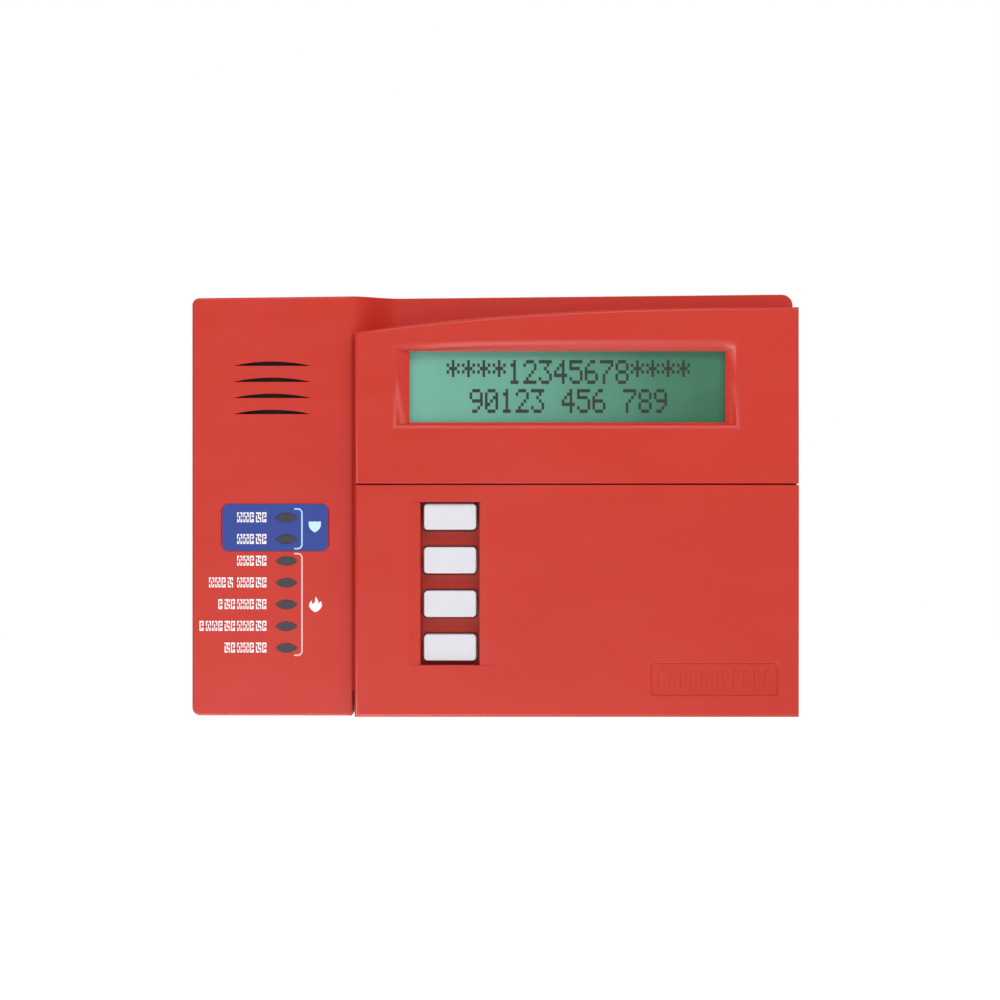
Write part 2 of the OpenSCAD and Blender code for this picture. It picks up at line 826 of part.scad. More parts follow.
module light_shroud() {
  color(black) difference() {
    along_y(shroud_y, board_y) shroud_outline(shroud_wall);
    for (i = [0:light_count - 1]) translate([light_x, 0, light_z(i)]) along_y(shroud_y - cut, board_y + cut)
      square([light_w, light_pitch - 2 * shroud_wall], center = true);
  }
}

module shroud_outline(margin) {
  h = light_count * light_pitch;
  translate([light_x - light_w / 2 - margin, light_1 + light_pitch / 2 - h])
    square([light_w + 2 * margin, h]);
}

module status_lenses() {
  color("dimgray") {
    along_y(panel_y - lens_proud, guide_y) light_holes(0);
    along_y(guide_y, guide_y + guide_t) shroud_outline(guide_margin);
  }
}

module status_label() {
  color("royalblue") along_y(panel_y, panel_y + label_t) difference() {
    translate([label_x, label_z]) round_rect(label_w, label_h, label_r);
    light_holes(lens_fit);
  }
}

module sounder_gasket() {
  color(black) difference() {
    rod_y(panel_cx, sounder_z, gasket_r, panel_back, sounder_y);
    rod_y(panel_cx, sounder_z, gasket_bore, panel_back - cut, sounder_y + cut);
  }
}

module sounder_housing() {
  bore = sounder_r - sounder_wall;
  color(black) difference() {
    rod_y(panel_cx, sounder_z, sounder_r, sounder_y, board_y);
    rod_y(panel_cx, sounder_z, sound_hole_r, sounder_y - cut, board_y);
    rod_y(panel_cx, sounder_z, bore - disc_ledge, sounder_y + sounder_front, board_y + cut);
    rod_y(panel_cx, sounder_z, bore, sounder_y + 2 * sounder_front, board_y + cut);
  }
}

module sounder_disc() {
  y = sounder_y + 2 * sounder_front;
  color("gold") rod_y(panel_cx, sounder_z, sounder_r - sounder_wall - snug_gap, y, y + disc_t);
}

// Puts what follows at each terminal
module each_terminal() {
  for (i = [0:terminal_count - 1])
    translate([terminal_x + (i - (terminal_count - 1) / 2) * terminal_pitch, 0, terminal_z]) children();
}

module terminal_block() {
  w = terminal_count * terminal_pitch + terminal_wall;
  chamber = terminal_pitch - terminal_wall;
  color("seagreen") difference() {
    translate([terminal_x - w / 2, board_back, terminal_z - terminal_h / 2])
      cube([w, terminal_d, terminal_h]);
    each_terminal() {
      box([-chamber / 2, board_back + terminal_floor, -terminal_h / 2 - cut],
        [chamber / 2, clamp_top + snug_gap, terminal_h / 2 - 2 * terminal_wall]);
      rod_y(0, 0, terminal_screw_r + snug_gap, board_back + terminal_floor, board_back + terminal_d + cut);
    }
  }
}

module terminal_clamps() {
  w = terminal_pitch - terminal_wall - 2 * snug_gap;
  low = board_back + terminal_floor + snug_gap;
  color(silver) each_terminal() difference() {
    box([-w / 2, low, -terminal_h / 4], [w / 2, clamp_top, terminal_h / 4]);
    box([clamp_t - w / 2, low + clamp_t, -terminal_h], [w / 2 - clamp_t, clamp_top - clamp_t, terminal_h]);
    rod_y(0, 0, clamp_hole_r, clamp_top - cut, clamp_top + cut);
  }
}

module terminal_screws() {
  seat = clamp_top + snug_gap;
  color(silver) each_terminal() difference() {
    union() {
      rod_y(0, 0, terminal_screw_r, seat, seat + terminal_head_t);
      rod_y(0, 0, clamp_hole_r - screw_fit, seat - terminal_shank, seat);
    }
    translate([0, seat + terminal_head_t, 0])
      cube([2 * terminal_screw_r, terminal_head_t / 2, screw_slot], center = true);
  }
}

module tamper_housing() {
  top = board_back + tamper_d;
  color(black) difference() {
    translate([tamper_x - tamper_w / 2, board_back, tamper_z - tamper_h / 2])
      cube([tamper_w, tamper_d, tamper_h]);
    rod_y(tamper_x, tamper_z, shoulder_r + free_gap, board_back + tamper_skin, top - tamper_skin);
    rod_y(tamper_x, tamper_z, plunger_r + pin_fit, board_back + tamper_skin, top + cut);
  }
}

module tamper_plunger() {
  seat = board_back + tamper_skin + spring_l;
  color("ivory") {
    rod_y(tamper_x, tamper_z, plunger_r, seat, 0);
    rod_y(tamper_x, tamper_z, shoulder_r, seat, seat + shoulder_t);
  }
}

// The compression spring under the plunger's shoulder, swept along a helix
module tamper_spring() {
  rings = spring_turns * spring_facets;
  rise = spring_l - 2 * spring_wire - 2 * spring_wire / 5;
  start = board_back + tamper_skin + spring_wire + spring_wire / 5;
  points = [for (k = [0:rings], j = [0:wire_facets - 1])
    let (a = 360 * k / spring_facets, b = 360 * j / wire_facets, r = spring_r + spring_wire * cos(b))
    [tamper_x + r * cos(a), start + rise * k / rings + spring_wire * sin(b), tamper_z + r * sin(a)]];
  sides = [for (k = [0:rings - 1], j = [0:wire_facets - 1])
    let (p = k * wire_facets, n = (j + 1) % wire_facets)
    [p + j, p + n, p + wire_facets + n, p + wire_facets + j]];
  ends = [[for (j = [wire_facets - 1:-1:0]) j], [for (j = [0:wire_facets - 1]) rings * wire_facets + j]];
  color(silver) polyhedron(points, concat(sides, ends));
}

module case_screw() {
  color(silver) translate([case_screw_x, case_screw_y, z0]) difference() {
    union() {
      cylinder(r = case_head_r, h = case_head_t);
      cylinder(r = case_screw_r, h = case_screw_l);
    }
    cube([case_head_r, case_screw_r / 2, case_head_t], center = true);
    cube([case_screw_r / 2, case_head_r, case_head_t], center = true);
  }
}

module rating_place() {
  translate([x1 - rating_w / 2 - rating_inset, 0, 0]) children();
}

module rating_label() {
  color("white") rating_place() along_y(-card_t, 0) round_rect(rating_w, rating_h, key_r);
}

rear_case();
front_case();
door();
door_card();
display_window();
lcd_bezel();
lcd_glass();
lcd_backlight();
lcd_contact_strips();
main_board();
processor_chip();
driver_chips();
display_chips();
capacitors();
voltage_regulator();
crystal();
key_lights();
status_leds();
light_shroud();
status_lenses();
status_label();
sounder_housing();
sounder_disc();
sounder_gasket();
keypad_mat();
for (i = [1:4]) function_key(i - 1);
for (i = [1:9]) numbered_key(i);
number_key(0, 3);  // star_key
number_key(1, 3);  // number_key_0
number_key(2, 3);  // hash_key
terminal_block();
terminal_clamps();
terminal_screws();
tamper_housing();
tamper_plunger();
tamper_spring();
board_screws();
case_screw();
rating_label();
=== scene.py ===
import json
import math

import bmesh
import bpy
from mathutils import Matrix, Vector


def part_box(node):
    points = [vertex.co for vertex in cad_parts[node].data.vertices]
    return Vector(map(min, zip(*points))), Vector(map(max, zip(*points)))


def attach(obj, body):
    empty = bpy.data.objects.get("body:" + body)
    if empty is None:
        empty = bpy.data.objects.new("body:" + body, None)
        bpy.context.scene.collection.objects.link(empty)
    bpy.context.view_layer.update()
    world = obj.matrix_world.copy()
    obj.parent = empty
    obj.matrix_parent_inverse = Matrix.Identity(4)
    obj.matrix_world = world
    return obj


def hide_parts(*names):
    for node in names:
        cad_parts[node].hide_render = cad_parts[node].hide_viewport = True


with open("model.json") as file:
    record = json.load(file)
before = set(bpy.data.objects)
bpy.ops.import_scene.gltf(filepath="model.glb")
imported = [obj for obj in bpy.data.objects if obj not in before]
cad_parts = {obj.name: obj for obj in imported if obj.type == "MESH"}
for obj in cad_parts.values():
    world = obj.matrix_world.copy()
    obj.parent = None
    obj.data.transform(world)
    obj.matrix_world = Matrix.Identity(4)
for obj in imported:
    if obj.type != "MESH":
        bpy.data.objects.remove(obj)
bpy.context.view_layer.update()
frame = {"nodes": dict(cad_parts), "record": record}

MM = 0.001
NODES = frame["nodes"]
RECORD = frame["record"]
SLOT_OF = {row["node"]: row["material_slot"] for row in RECORD["subparts"]}
BODY_OF = {node: body for body, nodes in RECORD["behaviour"]["bodies"].items() for node in nodes}


def front_part(node, y):
    """The box round the part of a node that stands in front of a plane."""
    points = [v.co for v in NODES[node].data.vertices if v.co.y < y]
    low = Vector([min(p[i] for p in points) for i in range(3)])
    high = Vector([max(p[i] for p in points) for i in range(3)])
    return low, high


# Places on the object, worked out from the frame
CASE_LOW, CASE_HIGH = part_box("front_case")
DOOR_LOW, DOOR_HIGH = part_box("door")
LABEL_LOW, LABEL_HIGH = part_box("status_label")
GLASS_LOW, GLASS_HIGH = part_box("lcd_glass")
WINDOW_LOW, WINDOW_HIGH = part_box("display_window")
FRONT_Y = CASE_LOW.y
PANEL_Y = LABEL_LOW.y
LENS_LOW, LENS_HIGH = front_part("status_lenses", PANEL_Y)
LIGHTS = 7
LABEL_LIGHTS = 2
LENS_H = 2.75 * MM
LIGHT_PITCH = (LENS_HIGH.z - LENS_LOW.z - LENS_H) / (LIGHTS - 1)
# The blend from the left panel's face back to the shoulder's
BLEND_X = DOOR_LOW.x - 2.2 * MM
BLEND_W = 16 * MM
BLEND_T = 10 * MM
# Print stands PRINT_T out of its surface and goes SINK into it
PRINT_T = 0.03 * MM
SINK = 0.01 * MM


# ---------------------------------------------------------------- materials

class Graph:
    """A node material with a few short ways of adding nodes to it."""

    def __init__(self, name):
        self.material = bpy.data.materials.new(name)
        self.material.use_nodes = True
        self.tree = self.material.node_tree
        self.shader = self.tree.nodes["Principled BSDF"]
        self.place = self.add("ShaderNodeTexCoord").outputs["Object"]

    def add(self, kind, settings=(), **inputs):
        node = self.tree.nodes.new(kind)
        for name, value in dict(settings).items():
            setattr(node, name, value)
        for name, value in inputs.items():
            self.feed(node.inputs[name.replace("_", " ")], value)
        return node

    def feed(self, socket, value):
        """Links a socket to the output of another node, or gives it a plain value."""
        if isinstance(value, bpy.types.NodeSocket):
            self.tree.links.new(value, socket)
        else:
            socket.default_value = value

    def noise(self, size, detail=2.0, stretch=(1, 1, 1)):
        """Noise whose features are about size metres across."""
        place = self.add("ShaderNodeMapping", Vector=self.place, Scale=stretch).outputs[0]
        return self.add("ShaderNodeTexNoise", Vector=place, Scale=1 / size, Detail=detail).outputs["Fac"]

    def span(self, value, low, high, out_low=0.0, out_high=1.0):
        """The value moved smoothly from the range low to high to the range out_low to out_high."""
        node = self.add("ShaderNodeMapRange", {"interpolation_type": "SMOOTHSTEP"}, Value=value,
                        From_Min=low, From_Max=high, To_Min=out_low, To_Max=out_high)
        return node.outputs["Result"]

    def math(self, operation, a, b=0.0):
        node = self.add("ShaderNodeMath", {"operation": operation})
        for socket, value in zip(node.inputs, (a, b)):
            self.feed(socket, value)
        return node.outputs[0]

    def mix(self, share, first, second):
        """A colour between two others. The node's inputs 6 and 7 and its output 2 are for colours."""
        node = self.add("ShaderNodeMix", {"data_type": "RGBA"})
        for index, value in ((0, share), (6, first), (7, second)):
            self.feed(node.inputs[index], value)
        return node.outputs[2]

    def axis(self, name):
        return self.add("ShaderNodeSeparateXYZ", Vector=self.place).outputs[name]

    def edge(self):
        """1 on the rounded edges of a piece, 0 elsewhere."""
        return self.add("ShaderNodeAttribute", {"attribute_name": "edge"}).outputs["Fac"]

    def bump(self, height, depth):
        self.set(Normal=self.add("ShaderNodeBump", Height=height, Distance=depth).outputs[0])

    def set(self, **values):
        """Settings of the shader, with _ for each space in a name."""
        for name, value in values.items():
            self.feed(self.shader.inputs[name.replace("_", " ")], value)


def rgb(r, g, b):
    """A colour given as it looks on a screen, from 0 to 255, as the linear colour of a node."""
    channels = [c / 255 for c in (r, g, b)]
    return [c / 12.92 if c <= 0.04045 else ((c + 0.055) / 1.055) ** 2.4 for c in channels] + [1.0]


def shade(colour, factor):
    """A colour made lighter or darker."""
    return [min(1.0, c * factor) for c in colour[:3]] + [1.0]


def plastic(name, colour, roughness=0.42, grain=0.25 * MM, grain_depth=0.006 * MM, variation=0.05):
    """Moulded plastic: fine spark texture, slow drifts of colour and gloss, polished edges with wear and a
    painted highlight.
    """
    g = Graph(name)
    drift = g.noise(45 * MM, 3)
    base = g.mix(drift, shade(colour, 1 - variation), shade(colour, 1 + variation))
    flow = g.span(g.noise(9 * MM, 2, (0.3, 1, 1)), 0.3, 0.7, -0.03, 0.03)
    # The rounded edges are made lighter: partly edge wear, partly a painted highlight on the rounded edges
    wear_and_sheen = g.mix(g.math("MULTIPLY", g.edge(), 0.22), base, shade(colour, 1.35))
    gloss = g.math("SUBTRACT", g.math("ADD", roughness, flow), g.math("MULTIPLY", g.edge(), 0.08))
    g.set(Base_Color=wear_and_sheen, Roughness=gloss, IOR=1.49)
    g.bump(g.noise(grain, 2), grain_depth)
    return g.material


def rubber(name, colour, roughness=0.6, glow=0.0):
    """Moulded silicone rubber, a little translucent, with a matt skin that fingers have polished."""
    g = Graph(name)
    tone = g.mix(g.noise(6 * MM, 3), shade(colour, 0.97), shade(colour, 1.03))
    rub = g.span(g.noise(3 * MM, 4), 0.35, 0.7, -0.06, 0.06)
    g.set(Base_Color=tone, Roughness=g.math("ADD", roughness, rub), IOR=1.43)
    g.set(Subsurface_Weight=glow, Subsurface_Radius=(1.0, 0.9, 0.85), Subsurface_Scale=1.2 * MM)
    g.bump(g.noise(0.18 * MM, 2), 0.008 * MM)
    return g.material


def metal(name, colour, roughness=0.3, brushed=(1, 1, 1)):
    """Plated or bare metal with fine marks from its making and faint staining."""
    g = Graph(name)
    tone = g.mix(g.span(g.noise(4 * MM, 4), 0.35, 0.7), shade(colour, 0.86), colour)
    marks = g.noise(0.12 * MM, 3, brushed)
    gloss = g.span(marks, 0.25, 0.75, roughness - 0.08, roughness + 0.1)
    g.set(Base_Color=tone, Metallic=1.0, Roughness=gloss)
    g.bump(marks, 0.004 * MM)
    return g.material


def circuit_board(name):
    """Green solder mask over copper tracks, with tinned pads in a grid."""
    g = Graph(name)
    size = 1.27 * MM
    tracks = g.add("ShaderNodeTexBrick", {"offset": 0.5}, Vector=g.place, Scale=1.0, Mortar_Size=0.16 * MM,
                   Mortar_Smooth=0.2, Brick_Width=9 * size, Row_Height=size).outputs["Fac"]
    cells = g.add("ShaderNodeTexVoronoi", Vector=g.place, Scale=1 / (3 * size), Randomness=0.0)
    pads = g.span(cells.outputs["Distance"], 0.13, 0.17, 1.0, 0.0)
    chosen = g.span(g.noise(7 * MM, 1), 0.52, 0.54)
    mask = g.mix(g.noise(12 * MM, 3), rgb(20, 74, 40), rgb(28, 92, 50))
    routed = g.mix(g.math("MULTIPLY", tracks, chosen), mask, rgb(52, 124, 70))
    pad = g.math("MULTIPLY", pads, g.math("SUBTRACT", 1.0, chosen))
    g.set(Base_Color=g.mix(pad, routed, rgb(198, 200, 196)), Metallic=g.math("MULTIPLY", pad, 0.9))
    g.set(Roughness=g.math("SUBTRACT", 0.38, g.math("MULTIPLY", pad, 0.1)))
    g.bump(g.math("ADD", tracks, pads), 0.03 * MM)
    return g.material


def display_glass(name):
    """The liquid crystal glass with its backlight's glow, painted light and reflection from the left, and
    a faint cloud.
    """
    g = Graph(name)
    painted_light_along = g.span(g.axis("X"), GLASS_LOW.x, GLASS_HIGH.x)
    # Lighter at the left-hand end and darker to the right: painted light and reflection from the left
    tone = g.mix(painted_light_along, rgb(112, 170, 154), rgb(46, 100, 72))
    cloud = g.mix(g.span(g.noise(22 * MM, 2), 0.35, 0.65, 0.0, 0.25), tone, rgb(84, 144, 118))
    g.set(Base_Color=cloud, Roughness=0.12, IOR=1.52)
    g.set(Emission_Color=cloud, Emission_Strength=0.25)
    g.bump(g.noise(0.4 * MM, 2), 0.001 * MM)
    return g.material


def clear_plastic(name):
    """A clear moulded window: it lets light straight through and mirrors a little of the room."""
    g = Graph(name)
    smear = g.span(g.noise(14 * MM, 4), 0.4, 0.7, 0.02, 0.09)
    tint = g.add("ShaderNodeBsdfTransparent", Color=(0.96, 0.98, 0.97, 1.0)).outputs[0]
    gloss = g.add("ShaderNodeBsdfGlossy", Color=(1, 1, 1, 1), Roughness=smear).outputs[0]
    inside = g.add("ShaderNodeNewGeometry").outputs["Backfacing"]
    fresnel = g.add("ShaderNodeFresnel", IOR=1.49).outputs[0]
    share = g.math("MULTIPLY", fresnel, g.math("SUBTRACT", 1.0, inside))
    mixed = g.add("ShaderNodeMixShader", Fac=share)
    g.tree.links.new(tint, mixed.inputs[1])
    g.tree.links.new(gloss, mixed.inputs[2])
    g.tree.links.new(mixed.outputs[0], g.tree.nodes["Material Output"].inputs["Surface"])
    g.tree.nodes.remove(g.shader)
    return g.material


def ink(name, colour):
    """Screen-printed ink, a little uneven, with a slight sheen."""
    g = Graph(name)
    g.set(Base_Color=g.mix(g.noise(1.2 * MM, 3), shade(colour, 0.93), colour), Roughness=0.48)
    g.bump(g.noise(0.15 * MM, 2), 0.004 * MM)
    return g.material


def paper(name, colour):
    """Card or label stock with fibres."""
    g = Graph(name)
    fibres = g.noise(0.35 * MM, 5, (1, 1, 4))
    g.set(Base_Color=g.mix(fibres, shade(colour, 0.94), colour), Roughness=0.75)
    g.bump(fibres, 0.01 * MM)
    return g.material


def make_materials():
    red = rgb(190, 36, 14)
    return {
        "red_plastic": plastic("red_plastic", red, 0.42),
        "rear_plastic": plastic("rear_plastic", shade(red, 0.92), 0.5, 0.3 * MM, 0.01 * MM),
        "key_plastic": rubber("key_rubber", rgb(214, 213, 219), 0.5, 0.15),
        "clear_plastic": clear_plastic("clear_plastic"),
        "display_glass": display_glass("display_glass"),
        "white_plastic": plastic("white_plastic", rgb(226, 226, 220), 0.4),
        "tinned_steel": metal("tinned_steel", rgb(150, 152, 154), 0.35, (0.1, 1, 1)),
        "pink_rubber": rubber("pink_rubber", rgb(214, 128, 132)),
        "green_board": circuit_board("circuit_board"),
        "black_plastic": plastic("black_plastic", rgb(34, 35, 38), 0.5, 0.12 * MM),
        "capacitor_sleeve": plastic("capacitor_sleeve", rgb(28, 34, 62), 0.28, 0.5 * MM, 0.004 * MM),
        "led_plastic": plastic("led_plastic", rgb(236, 232, 214), 0.25),
        "smoked_plastic": plastic("smoked_plastic", rgb(58, 58, 64), 0.3, 0.3 * MM, 0.003 * MM, 0.1),
        "blue_label": ink("blue_label", rgb(24, 54, 142)),
        # The sounder's brass is darkened: painted shade for its place deep in the case behind the slots
        "brass_disc": metal("brass_disc", rgb(92, 76, 44), 0.4),
        "black_foam": plastic("black_foam", rgb(30, 30, 32), 0.9, 0.5 * MM, 0.15 * MM),
        "grey_rubber": rubber("grey_rubber", rgb(150, 152, 156)),
        "green_plastic": plastic("green_plastic", rgb(46, 120, 74), 0.42),
        "steel_screw": metal("steel_screw", rgb(190, 192, 196), 0.28),
        "ivory_plastic": plastic("ivory_plastic", rgb(228, 220, 196), 0.4),
        "card_paper": paper("card_paper", rgb(240, 238, 230)),
    }


MATERIALS = make_materials()
WHITE_INK = ink("white_ink", rgb(244, 238, 242))
PINK_INK = ink("pale_ink", rgb(240, 196, 196))
PALE_BLUE_INK = ink("pale_blue_ink", rgb(176, 216, 244))
CYAN_INK = ink("cyan_ink", rgb(190, 232, 246))
DARK_INK = ink("dark_ink", rgb(46, 48, 56))
LCD_INK = ink("lcd_ink", rgb(10, 26, 22))


# ---------------------------------------------------------------- pieces

# Radii of the rounded edges
WINDOW_EDGE = 1.6 * MM
OUTER_EDGE = 1.0 * MM
PANEL_EDGE = 0.7 * MM
KEY_EDGE = 0.45 * MM
BACK_EDGE = 0.4 * MM
SIDE_EDGE = 0.3 * MM
SEAM_EDGE = 0.25 * MM
BEVEL_SEGMENTS = 4
# Points closer together and faces turned less from each other than this are joined before rounding
SAME_POINT = 0.002 * MM
SAME_FACE = math.radians(0.6)
# An edge has to turn outward by this much to be rounded, and by this much to shade as a crease
EDGE_TURN = math.radians(25)
CREASE_TURN = math.radians(32)
# How far from a plane a point may be and still count as on it
TOLERANCE = 0.06 * MM
# The narrow notch at the door's left end, whose edges stay sharp, is within this of the door
NOTCH_REACH = 1.6 * MM
# The edges round the window are at least WINDOW_SIDE from the ends of the front and at most
# WINDOW_FRAME above or below the window; those above WINDOW_TOP are its upper ones
WINDOW_SIDE = 5 * MM
WINDOW_FRAME = 4 * MM
WINDOW_TOP = WINDOW_HIGH.z - 6 * MM
# The edges of the lights' openings, which stay sharp, are within this of the lenses' left ends
LIGHT_REACH = 8 * MM
# The edges behind the left panel's face are rounded this far back
PANEL_REACH = 11 * MM


def add_piece(name, mesh, material, body, replaced=()):
    """A new piece that rides on a body and, where it replaces CAD nodes, takes over their slot."""
    piece = bpy.data.objects.new(name, mesh)
    bpy.context.scene.collection.objects.link(piece)
    mesh.materials.clear()
    mesh.materials.append(material)
    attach(piece, body)
    if replaced:
        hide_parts(*replaced)
    return piece


def baked(mesh, kind, **settings):
    """The mesh with a modifier of this kind applied."""
    holder = bpy.data.objects.new("holder", mesh)
    bpy.context.scene.collection.objects.link(holder)
    modifier = holder.modifiers.new(kind.lower(), kind)
    for name, value in settings.items():
        setattr(modifier, name, value)
    evaluated = holder.evaluated_get(bpy.context.evaluated_depsgraph_get())
    result = bpy.data.meshes.new_from_object(evaluated)
    bpy.data.objects.remove(holder)
    return result


def rounded(node, radius_at):
    """A copy of a CAD node's shape with its outer edges rounded: radius_at(a, b, normals) gives
    each edge's radius from its two ends and its two faces' normals. The rounded faces get the
    attribute edge = 1."""
    bm = bmesh.new()
    bm.from_mesh(NODES[node].data)
    bmesh.ops.remove_doubles(bm, verts=bm.verts, dist=SAME_POINT)
    bmesh.ops.dissolve_limit(bm, angle_limit=SAME_FACE, verts=bm.verts, edges=bm.edges)
    weight = bm.edges.layers.float.new("bevel_weight_edge")
    chosen = []
    for edge in bm.edges:
        if len(edge.link_faces) != 2 or edge.calc_face_angle_signed(0) < EDGE_TURN:
            continue
        normals = [face.normal for face in edge.link_faces]
        radius = radius_at(edge.verts[0].co, edge.verts[1].co, normals)
        if radius > 0:
            chosen.append((edge, radius))
    largest = max(radius for edge, radius in chosen)
    for edge, radius in chosen:
        edge[weight] = radius / largest
    mesh = bpy.data.meshes.new(node)
    bm.to_mesh(mesh)
    bm.free()
    mesh = baked(mesh, "BEVEL", limit_method="WEIGHT", width=largest, segments=BEVEL_SEGMENTS,
                 use_clamp_overlap=False, loop_slide=False, material=1)
    return finish_shading(mesh)


def finish_shading(mesh):
    """Smooth shading that keeps flat faces flat and creases sharp. The bevel's faces, which have
    the material index 1, are marked as rounded edges."""
    edge = mesh.attributes.new("edge", "FLOAT", "CORNER")
    for polygon in mesh.polygons:
        if polygon.material_index == 1:
            for corner in polygon.loop_indices:
                edge.data[corner].value = 1.0
        polygon.material_index = 0
    mesh.shade_smooth()
    mesh.set_sharp_from_angle(angle=CREASE_TURN)
    return baked(mesh, "WEIGHTED_NORMAL", keep_sharp=True, weight=50)


def blend_normal(point, normal):
    """The exact normal of the blend at a point on it, and None elsewhere."""
    t = (point.x - BLEND_X) / BLEND_W
    inside = -0.001 < t < 1.001 and PANEL_Y - SINK < point.y < PANEL_Y + BLEND_T + SINK
    faces_front = normal.y <= -0.6 and abs(normal.z) <= 0.1
    if not inside or not faces_front:
        return None
    slope = BLEND_T / BLEND_W * math.pi / 2 * math.sin(math.pi * t)
    return Vector((slope, -1, 0)).normalized()


def smooth_blend(mesh):
    """Gives the blend its exact normals, so that it shades as one smooth surface."""
    normals = [corner.vector.copy() for corner in mesh.corner_normals]
    for polygon in mesh.polygons:
        for corner in polygon.loop_indices:
            point = mesh.vertices[mesh.loops[corner].vertex_index].co
            exact = blend_normal(point, polygon.normal)
            if exact:
                normals[corner] = exact
    mesh.normals_split_custom_set(normals)


def near(value, target, tolerance=TOLERANCE):
    return abs(value - target) < tolerance


def both_at(y, a, b):
    """Whether both ends of an edge are on the plane at this y."""
    return near(a.y, y) and near(b.y, y)


def case_front_edges(a, b):
    """Radii of the edges of the front case's foremost face."""
    in_window = (DOOR_LOW.x + WINDOW_SIDE < a.x < CASE_HIGH.x - WINDOW_SIDE
                 and WINDOW_LOW.z - WINDOW_FRAME < a.z < WINDOW_HIGH.z + WINDOW_FRAME)
    if in_window:
        return WINDOW_EDGE if min(a.z, b.z) > WINDOW_TOP else OUTER_EDGE
    by_door = near(a.z, DOOR_HIGH.z, MM) and near(b.z, DOOR_HIGH.z, MM)
    return SEAM_EDGE if by_door else OUTER_EDGE


def case_edges(a, b, normals):
    """Radii of the front case's edges."""
    front = both_at(FRONT_Y, a, b)
    panel = both_at(PANEL_Y, a, b)
    blend = BLEND_X - SINK < min(a.x, b.x) and max(a.x, b.x) < BLEND_X + BLEND_W + SINK
    by_notch = near(a.x, DOOR_LOW.x, NOTCH_REACH) and near(b.x, DOOR_LOW.x, NOTCH_REACH)
    in_notch = by_notch and a.y > PANEL_Y - SINK
    panel_end = panel and max(a.x, b.x) > DOOR_LOW.x - NOTCH_REACH and a.z < LABEL_LOW.z
    if in_notch or panel_end or (blend and not front):
        return 0.0
    if front:
        return case_front_edges(a, b)
    if panel:
        by_lights = near(a.x, LENS_LOW.x, LIGHT_REACH) or LABEL_LOW.x < a.x < LABEL_HIGH.x
        return 0.0 if by_lights else PANEL_EDGE
    outside = any(n.y < -0.3 for n in normals) and a.y < PANEL_Y + PANEL_REACH
    return SIDE_EDGE if outside else 0.0


def door_edges(a, b, normals):
    """Radii of the door's front edges: large on its left and lower sides, small along its seams."""
    if not both_at(FRONT_Y, a, b):
        return 0.0
    left = near(a.x, DOOR_LOW.x) and near(b.x, DOOR_LOW.x)
    bottom = near(a.z, DOOR_LOW.z) and near(b.z, DOOR_LOW.z)
    return OUTER_EDGE if left or bottom else SEAM_EDGE


def rear_edges(a, b, normals):
    """Radii of the rear case's edges, which are rounded on the back face alone."""
    return BACK_EDGE if both_at(0.0, a, b) else 0.0


def key_edges(low):
    """The rule for a key: its front edges are rounded."""
    def radius(a, b, normals):
        return KEY_EDGE if both_at(low.y, a, b) else 0.0
    return radius


def build_shells():
    """The cases and the door with rounded edges, in place of the CAD shapes."""
    for node, rule in (("front_case", case_edges), ("door", door_edges), ("rear_case", rear_edges)):
        slot = SLOT_OF[node]
        mesh = rounded(node, rule)
        if node == "front_case":
            smooth_blend(mesh)
        add_piece(f"{node}_shell", mesh, MATERIALS[slot], BODY_OF[node], [node])


def build_keys():
    """The key caps with rounded front edges, in place of the CAD shapes."""
    for node in sorted(n for n in NODES if "_key" in n and SLOT_OF[n] == "key_plastic"):
        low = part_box(node)[0]
        add_piece(f"{node}_cap", rounded(node, key_edges(low)), MATERIALS["key_plastic"],
                  BODY_OF[node], [node])


def paint_nodes():
    """Gives every CAD node the material of its slot."""
    for node, piece in NODES.items():
        material = MATERIALS[SLOT_OF[node]]
        if not piece.material_slots:
            piece.data.materials.append(material)
        for slot in piece.material_slots:
            slot.material = material


# ---------------------------------------------------------------- printed marks

def light_z(i):
    """The height of a light's middle, counted from the top."""
    return LENS_HIGH.z - LENS_H / 2 - i * LIGHT_PITCH


def prism(bm, outline, front, back):
    """A flat solid between y = front and y = back, from an outline of (x, z) points."""
    ring_a = [bm.verts.new((x, front, z)) for x, z in outline]
    ring_b = [bm.verts.new((x, back, z)) for x, z in outline]
    count = len(outline)
    bm.faces.new(ring_a)
    bm.faces.new(ring_b[::-1])
    for i in range(count):
        j = (i + 1) % count
        bm.faces.new((ring_a[j], ring_a[i], ring_b[i], ring_b[j]))


def tile(bm, x, z, width, height, front, back):
    prism(bm, [(x, z), (x + width, z), (x + width, z + height), (x, z + height)], front, back)


def printed(name, draw, material, body, front, back):
    """A piece of thin print: draw(bm, front, back) adds its solids."""
    bm = bmesh.new()
    draw(bm, front, back)
    bmesh.ops.recalc_face_normals(bm, faces=bm.faces)
    mesh = bpy.data.meshes.new(name)
    bm.to_mesh(mesh)
    bm.free()
    return add_piece(name, mesh, material, body)


def smooth_loop(points, steps=6):
    """A closed smooth curve through the points."""
    result = []
    count = len(points)
    for i in range(count):
        p0, p1, p2, p3 = (Vector(points[(i + k - 1) % count]) for k in range(4))
        linear = p2 - p0
        square = 2 * p0 - 5 * p1 + 4 * p2 - p3
        cubic = 3 * p1 - p0 - 3 * p2 + p3
        for s in range(steps):
            t = s / steps
            result.append(tuple(0.5 * (2 * p1 + linear * t + square * t * t + cubic * t ** 3)))
    return result


def arc(cx, cz, radius, start, end, steps=6):
    """Points along an arc between two angles in degrees."""
    angles = [math.radians(start + (end - start) * i / steps) for i in range(steps + 1)]
    return [(cx + radius * math.cos(a), cz + radius * math.sin(a)) for a in angles]


